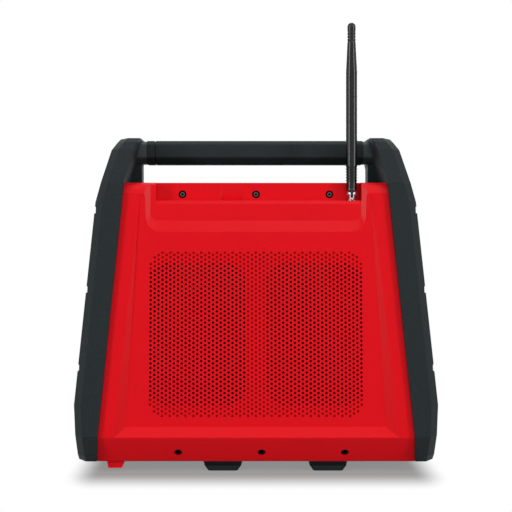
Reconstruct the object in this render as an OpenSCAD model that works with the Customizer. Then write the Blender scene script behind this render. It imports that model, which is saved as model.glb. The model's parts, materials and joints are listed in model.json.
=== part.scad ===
// Jobsite radio: moulded covers on a chassis, bumpers at both ends, bar handle and folding aerial.
// The back faces -Y, the front faces +Y, and the feet stand at z = 0.

/* [Body] */
// Width of the moulded body at its underside
body_width_bottom = 241.5; // [236:0.5:246]
// Width of the moulded body at its top
body_width_top = 202; // [198:0.5:206]
// Height of the underside above the surface it stands on
floor_z = 8; // [7.5:0.1:9]
// Height of the top of the covers
body_top = 221; // [220:0.5:223]
// Depth over the crests low on the front and back
crest_depth = 144; // [142:0.5:146]
// Depth of the underside
floor_depth = 121; // [118:0.5:124]
// Depth at the top of the covers
top_depth = 108; // [106:0.5:110]
// Height of the crests
crest_z = 28.5; // [27:0.5:30]
// Distance from the middle to each cover's seam
seam_y = 34; // [34:0.5:35]
// Thickness of the moulded walls
wall = 3.2; // [2.8:0.1:3.6]

/* [Rear face] */
// Depth of the sunk centre at its lower edge
sunk_depth = 6; // [5:0.25:7]
// Depth of the recess under the aerial pocket
recess_depth = 3; // [2:0.25:3.5]
// Height of the ledge that carries the aerial
ledge_z = 207; // [206:0.25:208]
// Distance from the middle to the back wall of the aerial pocket
pocket_wall_y = 41; // [40.5:0.25:41.5]
// Width of one column of the perforated field
hole_pitch_x = 2.97; // [2.9:0.01:3.05]
// Spacing of the holes in a column
hole_pitch_z = 3.43; // [3.35:0.01:3.5]
// Diameter of one perforation
hole_d = 2; // [1.8:0.1:2.4]

/* [Handle] */
// Height of the middle of the bar
handle_z = 246.7; // [246:0.1:247.5]
// Height of the grip's section
grip_height = 19.2; // [18:0.2:20]
// Depth of the grip's section
grip_depth = 26; // [22:0.5:28]
// Diameter of the tube inside the grip
tube_d = 14; // [12:0.5:15]

/* [Aerial] */
// Sideways place of the aerial
aerial_x = 74.3; // [73:0.1:75]
// Distance from the middle back to the aerial
aerial_y = 46.7; // [46.5:0.1:46.8]
// Height of the aerial's tip
aerial_tip = 345; // [334:1:349]
// Diameter of the whip's sleeve
whip_d = 8.9; // [8:0.1:9]

/* [Front] */
// Diameter of each front grille
speaker_d = 76; // [72:1:78]
// Sideways place of the speakers
speaker_x = 68; // [67:0.5:69]
// Height of the speakers
speaker_z = 92; // [88:1:96]
// Width of the opening for the battery
bay_width = 42; // [40:0.5:44]
// Diameter of the two knobs
knob_d = 30; // [26:1:32]

/* [Hidden] */
red = [0.84, 0.09, 0.12];
black = [0.13, 0.16, 0.17];
rubber_black = [0.08, 0.09, 0.1];
steel = [0.7, 0.7, 0.72];
board_green = [0.1, 0.35, 0.2];
glass = [0.3, 0.36, 0.34];

// Lean of the front and back faces
crest_y = crest_depth / 2;
top_y = top_depth / 2;
lean = atan((crest_y - top_y) / (body_top - crest_z));
band_drop = crest_z - floor_z;
band_in = crest_y - floor_depth / 2;
band_tilt = atan(band_in / band_drop);

// Half the body's width at a height
function half_width(z) = body_width_bottom / 2
    + (body_width_top - body_width_bottom) / 2 * (z - floor_z) / (body_top - floor_z);
// Distance up the leaning face for a height on it
function slope(z) = (z - crest_z) / cos(lean);
// Distance from the middle to the leaning face at a height
function face_y(z) = crest_y - (crest_y - top_y) * (z - crest_z) / (body_top - crest_z);

// One rounded corner b between a and c, as arc points
function corner(a, b, c, r, steps) =
    let (
        ua = (a - b) / norm(a - b),
        uc = (c - b) / norm(c - b),
        half = acos(ua * uc) / 2,
        bis = (ua + uc) / norm(ua + uc),
        centre = b + bis * (r / sin(half)),
        from = b + ua * (r / tan(half)) - centre,
        to = b + uc * (r / tan(half)) - centre,
        a0 = atan2(from[1], from[0]),
        turn = atan2(to[1], to[0]) - a0,
        sweep = turn > 180 ? turn - 360 : (turn < -180 ? turn + 360 : turn)
    )
    [for (i = [0:steps]) centre + r * [cos(a0 + sweep * i / steps), sin(a0 + sweep * i / steps)]];
// An outline with each corner rounded to its own radius
function rounded(points, radii, steps = 4) =
    let (n = len(points))
    [for (i = [0:n - 1]) each radii[i] == 0 ? [points[i]]
        : corner(points[(i + n - 1) % n], points[i], points[(i + 1) % n], radii[i], steps)];
// A rectangle between two corners, as an outline
function rectangle(x0, z0, x1, z1) = [[x0, z0], [x1, z0], [x1, z1], [x0, z1]];
// The body's tapering outline seen from the front, drawn in by a wall
function body_outline(inset, z0, z1) = [
    [-half_width(z0) + inset, z0], [half_width(z0) - inset, z0],
    [half_width(z1) - inset, z1], [-half_width(z1) + inset, z1]];

// A (y, z) outline stretched along X
module side_prism(outline, width) {
    rotate([90, 0, 90])
        linear_extrude(height = width, center = true)
            polygon(outline);
}
// An (x, z) outline stretched along Y
module front_prism(outline, y0, y1) {
    translate([0, y1, 0])
        rotate([90, 0, 0])
            linear_extrude(height = y1 - y0)
                polygon(outline);
}
// A bar, bore or pin along Y from y0 to y1
module round_y(d, y0, y1) {
    translate([0, y0, 0])
        rotate([-90, 0, 0])
            cylinder(d = d, h = y1 - y0, $fn = 48);
}
// A bar, bore or pin along X, centred
module round_x(d, length) {
    rotate([0, 90, 0])
        cylinder(d = d, h = length, center = true, $fn = 48);
}
// A skin through convex rings of 3-D points that run the same way round, with an even number of points each.
// An end face is a ladder of strips between a ring's first and second half, so it may be folded.
module loft(rings) {
    n = len(rings[0]);
    last = (len(rings) - 1) * n;
    strips = [0:n / 2 - 2];
    polyhedron(
        points = [for (ring = rings) each ring],
        faces = concat(
            [for (i = strips) each [[i, i + 1, n - 2 - i], [i, n - 2 - i, n - 1 - i]]],
            [for (k = [0:n:last - n]) for (i = [0:n - 1]) let (j = (i + 1) % n)
                each [[k + i, k + n + i, k + n + j], [k + i, k + n + j, k + j]]],
            [for (i = strips) each [[last + i, last + n - 2 - i, last + i + 1],
                [last + i, last + n - 1 - i, last + n - 2 - i]]]));
}
// Puts children on the leaning front face: +Y points out of the face, +Z up along it
module on_front() {
    translate([0, crest_y, crest_z])
        rotate([lean, 0, 0])
            children();
}
// The same on the back face
module on_back() {
    mirror([0, 1, 0])
        on_front()
            children();
}
// Puts children on the band under the back crest: +Y points out of the band, +Z up along it
module on_back_band() {
    mirror([0, 1, 0])
        translate([0, crest_y, crest_z])
            rotate([-band_tilt, 0, 0])
                children();
}

// Covers and chassis

cover_profile = rounded(
    [[seam_y, floor_z], [floor_depth / 2, floor_z], [crest_y, crest_z], [top_y, body_top],
        [seam_y, body_top]],
    [0, 3, 4, 9, 0]);
cavity_top = 180;
cavity_floor = floor_z + wall;
// A cover with its hollow, drawn on the front side, with the face's thickness at its crest and at the top
module cover_shell(crest_wall, top_wall) {
    difference() {
        intersection() {
            side_prism(cover_profile, body_width_bottom + 20);
            front_prism(body_outline(0, floor_z, body_top), 0, crest_y + 10);
        }
        intersection() {
            side_prism([[seam_y - 1, cavity_floor], [floor_depth / 2 - wall, cavity_floor],
                [crest_y - crest_wall, crest_z], [face_y(cavity_top) - top_wall, cavity_top],
                [seam_y - 1, cavity_top]], body_width_bottom + 20);
            front_prism(body_outline(wall + 0.8, floor_z, body_top), 0, crest_y);
        }
    }
}

// The sunk centre of the back, shallow at the top and deep at the foot, as a cutter in the face's frame
sunk_top = slope(211);
sunk_foot = slope(36);
sunk_edge_top = 88.5;
sunk_edge_foot = 107;
sunk_floor_foot = 98.5;
function sunk_at(s) = 0.4 + (sunk_depth - 0.4) * (sunk_top - s) / (sunk_top - sunk_foot);
module sunk_centre() {
    loft([
        [[-sunk_edge_top, -0.4, sunk_top], [sunk_edge_top, -0.4, sunk_top],
            [sunk_floor_foot, -sunk_depth, sunk_foot], [-sunk_floor_foot, -sunk_depth, sunk_foot]],
        [[-sunk_edge_top - 1, 1, sunk_top + 1], [sunk_edge_top + 1, 1, sunk_top + 1],
            [sunk_edge_foot + 1.5, 1, -1], [-sunk_edge_foot - 1.5, 1, -1]]
    ]);
}

// Lean of the sunk plane against the face, and its place at the foot
sunk_lean = atan((sunk_depth - 0.4) / (sunk_top - sunk_foot));
module on_sunk() {
    on_back()
        translate([0, -sunk_depth, sunk_foot])
            rotate([-sunk_lean, 0, 0])
                children();
}

// Recess below the aerial pocket, with sloping walls and rounded lower corners, open at the top
recess_foot = slope(191.8);
recess_edge_foot = slope(175);
recess_half = 81;
recess_edge_half = 86.2;
module pocket_recess() {
    inner = rounded(rectangle(-recess_half, recess_foot, recess_half, slope(body_top) + 4), [6, 6, 0, 0]);
    outer = rounded(rectangle(-recess_edge_half, recess_edge_foot, recess_edge_half, slope(body_top) + 4),
        [15, 15, 0, 0]);
    loft([
        [for (i = [len(inner) - 1:-1:0]) [inner[i][0], -recess_depth, inner[i][1]]],
        [for (i = [len(outer) - 1:-1:0]) [outer[i][0], 0.3, outer[i][1]]]
    ]);
}

// Deeper pocket that the folded aerial lies in
pocket_left = -77;
pocket_right = 81.5;
upper_screw_x = [-57, 0.4, 57.8];
upper_screw_z = 212;
lower_screw_x = [-58.9, 4.3, 67.3];
lower_screw_s = -14.3;
head_d = 6.2;
rest_foot = [-28, -9];
rest_top = [-26.5, -11];
window_half_x = 83;
window_low = 4.5;
window_high = window_low + 131;
window_corner = 14;
// Width of the lip that the grille rests on
window_lip = 2.2;
// Outline of the perforated field on the sunk plane
function window(inset) = rounded(
    rectangle(-window_half_x + inset, window_low + inset, window_half_x - inset, window_high - inset),
    [for (i = [0:3]) window_corner - inset], 6);

module rear_cover() {
    color(red)
    difference() {
        union() {
            difference() {
                mirror([0, 1, 0]) cover_shell(sunk_depth + wall, wall + 2);
                on_back() sunk_centre();
                on_back() pocket_recess();
                translate([pocket_left, -crest_y, ledge_z])
                    cube([pocket_right - pocket_left, crest_y - pocket_wall_y, 40]);
                // Slope along the front edge of the ledge
                translate([(pocket_left + recess_half) / 2, 0, ledge_z])
                    side_prism([[-51.3, 0.5], [-53, -3.8], [-60, -3.8], [-60, 0.5]],
                        recess_half - pocket_left - 1);
                on_sunk() {
                    front_prism(window(0), -grille_thick, 5);
                    front_prism(window(window_lip), -20, 5);
                }
            }
            // Bosses behind the lower screws
            intersection() {
                mirror([0, 1, 0])
                    front_prism(body_outline(wall, floor_z, cavity_top), seam_y, crest_y - 1);
                on_back_band()
                    for (x = lower_screw_x)
                        translate([x, 0, lower_screw_s])
                            round_y(11, -26, -wall);
            }
            // Moulded tab under the left end
            tab();
            // Low rest on the pocket's back wall for the folded aerial
            front_prism([[rest_foot[0], ledge_z - 1], [rest_foot[1], ledge_z - 1],
                [rest_top[1], ledge_z + 9], [rest_top[0], ledge_z + 9]],
                -pocket_wall_y - 0.9, -pocket_wall_y + 1);
        }
        for (x = upper_screw_x)
            translate([x, 0, upper_screw_z]) {
                round_y(head_d, -crest_y, -pocket_wall_y + 3.5);
                round_y(3.4, -crest_y, 0);
            }
        on_back_band()
            for (x = lower_screw_x)
                translate([x, 0, lower_screw_s]) {
                    round_y(head_d, -6, 10);
                    round_y(3.2, -30, 10);
                }
        translate([aerial_x, -aerial_y, ledge_z - 9])
            cylinder(d = 7.2, h = 12, $fn = 48);
    }
}
tab_left = -114;
tab_right = -99.6;
tab_foot = 2.7;
module tab() {
    front_prism(rounded([[tab_left + 1.2, tab_foot], [tab_right - 2.6, tab_foot], [tab_right, floor_z + 2],
        [tab_left, floor_z + 2]], [1, 1, 0, 0]), -58, -40);
}

// Perforated field

first_column = 27;
rib_columns = 2;
rows = 18;
field_z = (window_low + window_high) / 2;
grille_thick = 2.4;
// Through holes lie in two rounded areas, and the rest of the field is blind
open_half_z = 54;
function is_through(x, z) = let (
        dx = max(0, abs(abs(x) - 45) - 24),
        dz = max(0, abs(z - field_z) - (open_half_z - 13)))
    sqrt(dx * dx + dz * dz) < 13;
function in_field(x, z) = let (
        dx = max(0, abs(x) - (window_half_x - 15)),
        dz = max(0, abs(z - field_z) - (field_z - window_low - 15)))
    sqrt(dx * dx + dz * dz) < 12.8;
// One part of the field, from one column to another
module grille_part(column0, column1, x0, x1) {
    color(red)
    on_sunk()
        difference() {
            intersection() {
                front_prism(window(0), -grille_thick, 0);
                front_prism(rectangle(x0, 0, x1, window_high + 5), -grille_thick - 1, 1);
            }
            for (i = [column0:column1])
                for (k = [-rows - 1:rows + 1]) {
                    x = i * hole_pitch_x;
                    z = field_z + (k + (i % 2 == 0 ? 0 : 0.5)) * hole_pitch_z;
                    if (in_field(x, z))
                        translate([x, 0, z])
                            round_y(hole_d, is_through(x, z) ? -grille_thick - 1 : -1.3, 1);
                }
        }
}
rib_half = (rib_columns + 0.5) * hole_pitch_x;
module rear_grille_left() { grille_part(-first_column, -rib_columns - 1, -window_half_x - 1, -rib_half); }
module rear_grille_rib() { grille_part(-rib_columns, rib_columns, -rib_half, rib_half); }
module rear_grille_right() { grille_part(rib_columns + 1, first_column, rib_half, window_half_x + 1); }

// Chassis between the covers, dished under the handle for the fingers
dish_half = 26;
dish_floor = 200;
dish_r = (dish_half * dish_half + pow(body_top - dish_floor, 2)) / (2 * (body_top - dish_floor));
module chassis() {
    color(black)
    difference() {
        front_prism(body_outline(0, floor_z, body_top), -seam_y, seam_y);
        front_prism(body_outline(4, floor_z + 4, dish_floor - 6), -seam_y - 1, seam_y + 1);
        translate([0, 0, dish_floor + dish_r])
            round_x(2 * dish_r, 2 * body_width_bottom);
        for (x = upper_screw_x)
            translate([x, 0, upper_screw_z])
                round_y(2.6, -seam_y - 1, -seam_y + 6);
        for (x = [-1, 1])
            for (z = cap_screw_z)
                translate([x * half_width(z), 0, z])
                    round_x(3, 20);
    }
    // Lugs under the dish that carry the main board
    color(black)
    for (x = [-50, 50])
        translate([x - 2, board_y, board_foot + 50])
            cube([4, 6, dish_floor - board_foot - 55.5]);
}

// Front cover with the openings for the speakers, the controls, the battery and the sockets
panel_low = slope(138);
panel_high = slope(210);
panel_half_low = 92;
panel_half_high = 84;
panel_outline = rounded([[-panel_half_low, panel_low], [panel_half_low, panel_low],
    [panel_half_high, panel_high], [-panel_half_high, panel_high]], [8, 8, 8, 8]);
panel_depth = 3;
// Thickness of the front cover's face
front_wall = 5;
rebate = 4;
pin_d = 1.5;
// Openings of the battery bay and the socket box on the face: left, foot, right, top
bay = [-bay_width / 2, slope(38), bay_width / 2, slope(108)];
aux = [-20, slope(115), 20, slope(132)];
function grown(box, by) = rectangle(box[0] - by, box[1] - by, box[2] + by, box[3] + by);
box_wall = 1.8;
// The doors' pins, below the openings' lower edge and behind the face
pin_y = -1.6;
pin_rise = -0.2;
board_half = 74;
board_low = slope(145);
board_high = slope(195);
board_front = -8;
speaker_s = slope(speaker_z);
module front_cover() {
    color(red)
    difference() {
        cover_shell(front_wall / cos(lean), front_wall / cos(lean));
        on_front() {
            front_prism(panel_outline, -panel_depth, 10);
            front_prism(
                rounded(rectangle(-board_half, board_low, board_half, board_high), [4, 4, 4, 4]), -40, 10);
            for (side = [-1, 1])
                translate([side * speaker_x, 0, speaker_s]) {
                    round_y(speaker_d + 6, -3, 10);
                    round_y(speaker_d - 4, -40, 10);
                }
            // Rebates for the two doors, openings for the boxes behind them and bores for their pins
            front_prism(grown(bay, 2), -rebate, 10);
            front_prism(grown(bay, box_wall), -40, 10);
            front_prism(grown(aux, 2), -rebate, 10);
            front_prism(grown(aux, box_wall), -40, 10);
            for (box = [bay, aux])
                translate([0, pin_y, box[1] + pin_rise])
                    round_x(pin_d, 2 * box[2] + 8);
        }
    }
}

// End caps

cap_bottom = 9;
// Height at which the bumper's outer face bends
cap_knee = 206;
// Top of the bumper's outer edge, and of its crown over the handle's end
cap_top = 256.3;
cap_crown = 257.5;
cap_proud = 3.2;
// Heights and half depths of the bumper's outline seen from the end
cap_stations = [[cap_bottom, 64], [14, 69], [30, crest_y + cap_proud - 0.2], [52, 73], [cap_knee, 59],
    [body_top, top_y + 3.6], [247, 47], [253, 42.5], [cap_top, 37], [cap_crown, 22]];
function mix(a, b, t) = a + (b - a) * t;
// Value of a list of [height, value] pairs at a height
function at_height(pairs, z, i = 0) =
    i >= len(pairs) - 2 || z <= pairs[i + 1][0]
        ? mix(pairs[i][1], pairs[i + 1][1], (z - pairs[i][0]) / (pairs[i + 1][0] - pairs[i][0]))
        : at_height(pairs, z, i + 1);
// Heights and distances of the bumper's outer face from the middle
cap_outer = [[cap_bottom, 134.9], [52, 137.5], [cap_knee, 123.2], [246, 112.6], [cap_top, 105.9],
    [cap_crown, 105.2]];
function cap_inner(z) = z < body_top ? half_width(z)
    : mix(half_width(body_top), 92, (z - body_top) / (cap_top - body_top));
// One ring of the bumper: how far it is drawn in over its depth and at its ends, and where it lies
// between the inner and the outer face
function cap_ring(inset, end_inset, from_inner, from_outer) =
    let (shrink = 1 - 2 * end_inset / (cap_crown - cap_bottom),
         up = [for (s = cap_stations) [cap_bottom + end_inset + (s[0] - cap_bottom) * shrink, s[1] - inset]],
         down = [for (i = [len(up) - 1:-1:0]) [up[i][0], -up[i][1]]])
    [for (p = concat(up, down))
        let (x = from_inner != undef ? cap_inner(p[0]) + from_inner : at_height(cap_outer, p[0]) + from_outer)
        [x, p[1], p[0]]];
groove_z = [80, 139, 199.7];
cap_wall = 4.5;
// Outline of the hollow behind a bumper, as [height, depth] pairs
function hollow_outline(inset) =
    let (up = [for (z = [16, 30, 52, 204]) [z, at_height(cap_stations, z) - inset]])
    concat(up, [for (i = [3:-1:0]) [up[i][0], -up[i][1]]]);
cap_screw_z = [44, 154];
// Ends of the collar, of the tube and of the bolt's seat in the bumper
socket_x = 98.5;
tube_end = 104;
bolt_seat = 106;
// Post under the end of the handle: its near side and half its depth
post_x = 91.8;
post_half = 8;
module end_cap() {
    color(rubber_black)
    difference() {
        union() {
            loft([cap_ring(0, 0, 0, 0), cap_ring(0, 0, undef, -6), cap_ring(6, 0.6, undef, 0)]);
            // Post under the handle's end, standing in the chassis's dish
            intersection() {
                translate([post_x, -post_half, dish_floor])
                    cube([14, 2 * post_half, handle_z - grip_height / 2 + 0.4 - dish_floor]);
                translate([0, 0, dish_floor + dish_r])
                    round_x(2 * dish_r - 0.1, 240);
            }
        }
        // Hollow behind the bumper's face
        loft([
            [for (p = hollow_outline(5)) [cap_inner(p[0]) - 1, p[1], p[0]]],
            [for (p = hollow_outline(9)) [at_height(cap_outer, p[0]) - cap_wall, p[1], p[0]]]
        ]);
        for (z = groove_z)
            translate([at_height(cap_outer, z) - 1, -100, z - 2.5])
                cube([20, 200, 5]);
        // Recess for the end of the handle
        translate([socket_x - 10, 0, handle_z])
            side_prism(grip_section(collar_inset + 0.1), 20);
        translate([tube_end - 10, 0, handle_z])
            round_x(tube_d, 20.4);
        translate([bolt_seat, 0, handle_z])
            round_x(5.4, 30);
        translate([bolt_seat + 10, 0, handle_z])
            round_x(11, 20);
        for (z = cap_screw_z) {
            translate([half_width(z), 0, z])
                round_x(3.4, 60);
            translate([at_height(cap_outer, z), 0, z])
                round_x(8, 5);
        }
    }
}
module end_cap_right() { end_cap(); }
module end_cap_left() { mirror([1, 0, 0]) end_cap(); }
// A screw along +Y with a hexagon socket in its head, its head's face at y = 0 and pointing to -Y
module socket_screw(d, head, head_h, length) {
    difference() {
        union() {
            round_y(head, 0, head_h);
            round_y(d, head_h, length);
        }
        translate([0, -1, 0])
            rotate([-90, 0, 0])
                cylinder(d = head * 0.5, h = head_h * 0.6 + 1, $fn = 6);
    }
}
module end_cap_screws() {
    color(steel)
    for (side = [0, 1])
        mirror([side, 0, 0])
            for (z = cap_screw_z)
                translate([at_height(cap_outer, z) - 0.5, 0, z])
                    rotate([0, 0, 90])
                        socket_screw(3, 7.6, 2, at_height(cap_outer, z) - half_width(z) + 3);
}

// Handle

module handle_tube() {
    color(steel)
    translate([0, 0, handle_z])
        difference() {
            round_x(tube_d - 0.1, 2 * tube_end);
            round_x(5, 2 * tube_end + 2);
        }
}
// Section of the grip, in y and z
function grip_section(grow) = rounded([
    [-grip_depth / 2 - grow, -grip_height / 2 + 5.5], [-grip_depth / 2 + 6, -grip_height / 2 - grow],
    [grip_depth / 2 - 6, -grip_height / 2 - grow], [grip_depth / 2 + grow, -grip_height / 2 + 5.5],
    [grip_depth / 2 + grow, grip_height / 2 - 3], [grip_depth / 2 - 4, grip_height / 2 + grow],
    [-grip_depth / 2 + 4, grip_height / 2 + grow], [-grip_depth / 2 - grow, grip_height / 2 - 3]],
    [3, 3, 3, 3, 3, 3, 3, 3], 3);
grip_half = 87.3;
// Groove round the grip near each end
grip_groove_x = 80.9;
collar_inset = -0.5;
module handle_grip() {
    color(rubber_black)
    translate([0, 0, handle_z])
        difference() {
            side_prism(grip_section(0), 2 * grip_half);
            round_x(tube_d, 2 * grip_half + 1);
            for (side = [-1, 1])
                translate([side * grip_groove_x, 0, 0])
                    difference() {
                        side_prism(grip_section(2), 1);
                        side_prism(grip_section(-0.7), 2);
                    }
        }
}
module handle_collar(side) {
    color(black)
    translate([0, 0, handle_z])
        difference() {
            translate([side * (grip_half + socket_x) / 2, 0, 0])
                side_prism(grip_section(collar_inset), socket_x - grip_half);
            round_x(tube_d, 300);
        }
}
module handle_collar_left() { handle_collar(-1); }
module handle_collar_right() { handle_collar(1); }
module handle_bolts() {
    color(steel)
    for (side = [0, 1])
        mirror([side, 0, 0])
            translate([bolt_seat + 3.5, 0, handle_z])
                rotate([0, 0, 90])
                    socket_screw(5, 10, 3.5, 28);
}

module rear_upper_screws() {
    color(steel)
    for (x = upper_screw_x)
        translate([x, -pocket_wall_y + 0.8, upper_screw_z])
            socket_screw(2.6, head_d - 0.4, 2.7, 12);
}
module rear_lower_screws() {
    color(steel)
    on_back_band()
        for (x = lower_screw_x)
            translate([x, -3, lower_screw_s])
                mirror([0, 1, 0])
                    socket_screw(3.2, head_d - 0.4, 3, 24);
}

// Rubber feet
foot_x = [-25.2, 55.4];
foot_y = 48;
module foot() {
    // Height, width and depth from the underside down, undercut above the pad
    widths = [[floor_z, 30.5, 17], [4.6, 28.6, 13.5], [4, 28.2, 17.5], [0.8, 23.6, 16.5], [0, 22.6, 15.5]];
    loft([for (k = [len(widths) - 1:-1:0])
        [for (p = rounded([[-1, -1], [1, -1], [1, 1], [-1, 1]], [0.2, 0.2, 0.2, 0.2], 3))
            [p[0] * widths[k][1] / 2, p[1] * widths[k][2] / 2, widths[k][0]]]]);
}
module feet() {
    color(rubber_black)
    for (x = foot_x)
        for (y = [-foot_y, foot_y])
            translate([x, y, 0])
                foot();
}

// Aerial: bush, turning fork, pin, ferrule with its tongue, and the sleeved whip

pivot_z = ledge_z + 4.8;
tongue = 1.8;
fork_d = 7;
fork_half = 2.9;
module aerial_bush() {
    color(steel)
    translate([aerial_x, -aerial_y, ledge_z])
        difference() {
            union() {
                cylinder(d = 9, h = 0.6, $fn = 48);
                translate([0, 0, -8]) cylinder(d = 7.2, h = 8, $fn = 48);
            }
            translate([0, 0, -9]) cylinder(d = 5.12, h = 12, $fn = 48);
        }
}
module aerial_knuckle() {
    color(steel)
    translate([aerial_x, -aerial_y, 0])
        difference() {
            union() {
                translate([0, 0, ledge_z - 7.5]) cylinder(d = 5, h = 8.6, $fn = 48);
                translate([0, 0, ledge_z + 0.8]) cylinder(d = 5.2, h = 2.4, $fn = 48);
                intersection() {
                    translate([0, 0, ledge_z + 1.8]) cylinder(d = fork_d, h = 9, $fn = 48);
                    union() {
                        translate([-5, -fork_half, ledge_z + 1.8])
                            cube([10, 2 * fork_half, pivot_z - ledge_z - 1.8]);
                        translate([0, 0, pivot_z]) round_x(2 * fork_half, 10);
                    }
                }
            }
            translate([-tongue / 2 - 0.1, -6, pivot_z - fork_half + 0.3])
                cube([tongue + 0.2, 12, 12]);
            translate([0, 0, pivot_z]) round_x(2, 12);
        }
}
module aerial_pin() {
    color(steel)
    translate([aerial_x, -aerial_y, pivot_z])
        round_x(1.98, 6.8);
}
ferrule_z = pivot_z + 3.2;
ferrule_ring = 1.5;
// Rod of the ferrule inside the whip's sleeve
spigot = 12;
module aerial_ferrule() {
    color(steel)
    translate([aerial_x, -aerial_y, 0])
        difference() {
            union() {
                translate([0, 0, ferrule_z]) cylinder(d = 7.3, h = ferrule_ring, $fn = 48);
                translate([0, 0, ferrule_z]) cylinder(d = 3, h = ferrule_ring + spigot, $fn = 48);
                translate([0, 0, pivot_z]) round_x(4.4, tongue);
                translate([-tongue / 2, -2.2, pivot_z]) cube([tongue, 4.4, ferrule_z - pivot_z + 0.5]);
            }
            translate([0, 0, pivot_z]) round_x(2.12, 12);
        }
}
whip_z = ferrule_z + ferrule_ring;
module aerial_whip() {
    length = aerial_tip - whip_z;
    // Radii and heights above the sleeve's foot
    r = whip_d / 2;
    r_tip = 3.3;
    taper_top = length - 15.5;
    taper_foot = length - 38.5;
    neck = r - 0.9;
    ribs = [for (i = [0:4]) let (z = 5.4 + i * 2.2)
        each [[r - 0.6, z], [r, z + 0.3], [r, z + 1.2], [r - 0.6, z + 1.5]]];
    tip_ribs = [for (i = [0:2]) let (z = taper_top + 1 + i * 2.5)
        each [[r_tip - 0.35, z], [r_tip, z + 0.4], [r_tip, z + 1.6], [r_tip - 0.35, z + 2]]];
    dome = [for (a = [0:15:90]) [r_tip * cos(a), length - r_tip + r_tip * sin(a)]];
    color(rubber_black)
    translate([aerial_x, -aerial_y, whip_z])
        rotate_extrude($fn = 48)
            polygon(concat(
                [[1.5, 0], [neck - 0.3, 0], [neck, 0.5], [neck, 5.2]], ribs,
                [[r, 17], [r, taper_foot], [r_tip, taper_top]], tip_ribs,
                [[r_tip, taper_top + 9]], dome, [[0, spigot], [1.5, spigot]]));
}

// Controls

panel_face = -panel_depth + 2.4;
display_s = slope(180);
display_w = 66;
display_h = 26;
knob_x = 62;
knob_s = slope(180);
button_s = slope(152);
button_w = 17;
button_h = 8;
button_gap = 23;
shaft_d = 6;
module control_panel() {
    color(black)
    on_front()
        difference() {
            front_prism(panel_outline, -panel_depth, panel_face + 1.4);
            front_prism(rounded(rectangle(-display_w / 2, display_s - display_h / 2, display_w / 2,
                display_s + display_h / 2), [2, 2, 2, 2]), -10, 10);
            for (i = [0:5])
                front_prism(button_outline(i, 0.3), -10, 10);
            for (side = [-1, 1])
                translate([side * knob_x, 0, knob_s])
                    round_y(shaft_d + 1.2, -10, 10);
        }
}
function button_outline(i, grow) = rounded(rectangle(
    (i - 2.5) * button_gap - button_w / 2 - grow, button_s - button_h / 2 - grow,
    (i - 2.5) * button_gap + button_w / 2 + grow, button_s + button_h / 2 + grow),
    [for (k = [0:3]) 2 + grow]);
module display_lens() {
    color(glass)
    on_front()
        front_prism(rounded(rectangle(-display_w / 2, display_s - display_h / 2, display_w / 2,
            display_s + display_h / 2), [2, 2, 2, 2]), -1.6, 0.2);
}
module display_module() {
    color(black)
    on_front()
        front_prism(rectangle(-display_w / 2 + 1, display_s - display_h / 2 + 1, display_w / 2 - 1,
            display_s + display_h / 2 - 1), board_front, -1.6);
}
module control_board() {
    color(board_green)
    on_front()
        front_prism(rectangle(-board_half + 2, board_low + 2, board_half - 2, board_high - 2),
            board_front - 1.6, board_front);
}
module button(i) {
    color(rubber_black)
    on_front() {
        front_prism(button_outline(i, 0), -6, 2.4);
        front_prism(button_outline(i, 1), -6, -panel_depth - 0.3);
    }
}
module power_button() { button(0); }
module mode_button() { button(1); }
module preset_button_1() { button(2); }
module preset_button_2() { button(3); }
module preset_button_3() { button(4); }
module preset_button_4() { button(5); }
module knob(x) {
    color(rubber_black)
    on_front()
        translate([x, 0, knob_s])
            difference() {
                union() {
                    round_y(knob_d, 1.4, 12);
                    round_y(knob_d - 3, 12, 14);
                    round_y(knob_d - 12, 1.4, 14);
                }
                for (a = [0:20:340])
                    rotate([0, a, 0])
                        translate([knob_d / 2 + 0.6, 0, 0])
                            round_y(3, 3, 20);
                round_y(shaft_d - 0.02, 0, 11);
            }
}
module volume_knob() { knob(-knob_x); }
module tuning_knob() { knob(knob_x); }
module shaft(x) {
    color(steel)
    on_front()
        translate([x, 0, knob_s])
            round_y(shaft_d - 0.02, -7, 11);
}
module volume_shaft() { shaft(-knob_x); }
module tuning_shaft() { shaft(knob_x); }
module encoders() {
    color(black)
    on_front()
        for (side = [-1, 1])
            translate([side * knob_x, 0, knob_s])
                difference() {
                    translate([-6.5, board_front, -6]) cube([13, -panel_depth - board_front, 12]);
                    round_y(shaft_d + 0.1, -7.1, 0);
                }
}

// Speakers, and the passive radiators behind the rear grille

module on_speaker(side) {
    on_front()
        translate([side * speaker_x, 0, speaker_s])
            children();
}
module speaker_grille(side) {
    pitch = 5;
    color(black)
    on_speaker(side)
        difference() {
            union() {
                round_y(speaker_d + 5.6, -3, -1);
                difference() {
                    round_y(speaker_d + 5.6, -3, 1);
                    round_y(speaker_d + 1, -4, 3);
                }
            }
            for (i = [-7:7])
                for (k = [-8:8]) {
                    x = i * pitch * 0.866;
                    z = (k + (abs(i) % 2) / 2) * pitch;
                    if (norm([x, z]) < speaker_d / 2 - 4)
                        translate([x, 0, z])
                            round_y(3.4, -5, 3);
                }
        }
}
module speaker_grille_left() { speaker_grille(-1); }
module speaker_grille_right() { speaker_grille(1); }
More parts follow.
